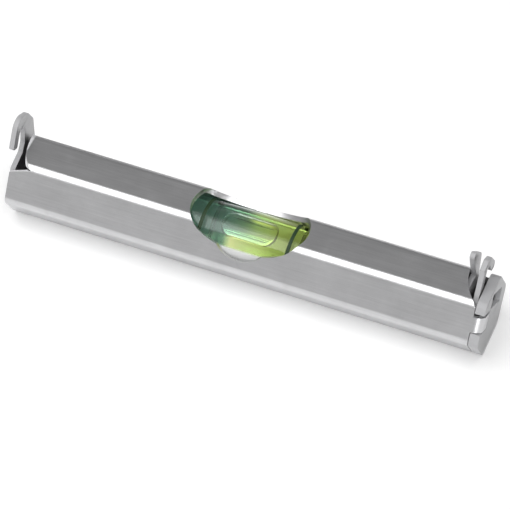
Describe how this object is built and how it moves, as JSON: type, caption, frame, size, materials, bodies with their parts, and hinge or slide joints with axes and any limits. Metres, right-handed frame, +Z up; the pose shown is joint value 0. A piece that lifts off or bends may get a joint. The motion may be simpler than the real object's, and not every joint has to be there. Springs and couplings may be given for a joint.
{
  "type": "line level",
  "caption": "Small hexagonal aluminium level that hangs on a taut string by hooks at its ends, with a clear green vial in an oval sight window.",
  "frame": {"origin": "middle of the flat that the level lies on", "axes": "+X along the level to the end with the double hook, +Z up as it lies on a bench, +Y to the rear. As it hangs on its string the ridge at +Y 0.5, +Z 0.87 is up."},
  "size_m": [0.0786, 0.0128, 0.0166],
  "materials": {
    "aluminium": "brushed along its length, satin",
    "vial_acrylic": "clear, polished",
    "vial_fluid": "clear yellow-green liquid",
    "vial_bubble": "clear, shiny",
    "level_line": "printed line",
    "vial_plug": "moulded, satin"
  },
  "bodies": {
    "level": {"body_tube": "aluminium", "left_hook_plate": "aluminium", "right_double_hook": "aluminium", "right_end_cap": "aluminium", "vial_barrel": "vial_acrylic", "vial_fluid": "vial_fluid", "vial_line_left": "level_line", "vial_line_right": "level_line", "vial_plug_left": "vial_plug", "vial_plug_right": "vial_plug"},
    "bubble": {"vial_bubble": "vial_bubble"}
  },
  "joints": [
    {"name": "bubble_slide", "type": "slide", "parent": "level", "child": "bubble", "axis": [1, 0, 0], "range_m": [-0.006, 0.006], "stiffness_N_per_m": 0.02}
  ]
}
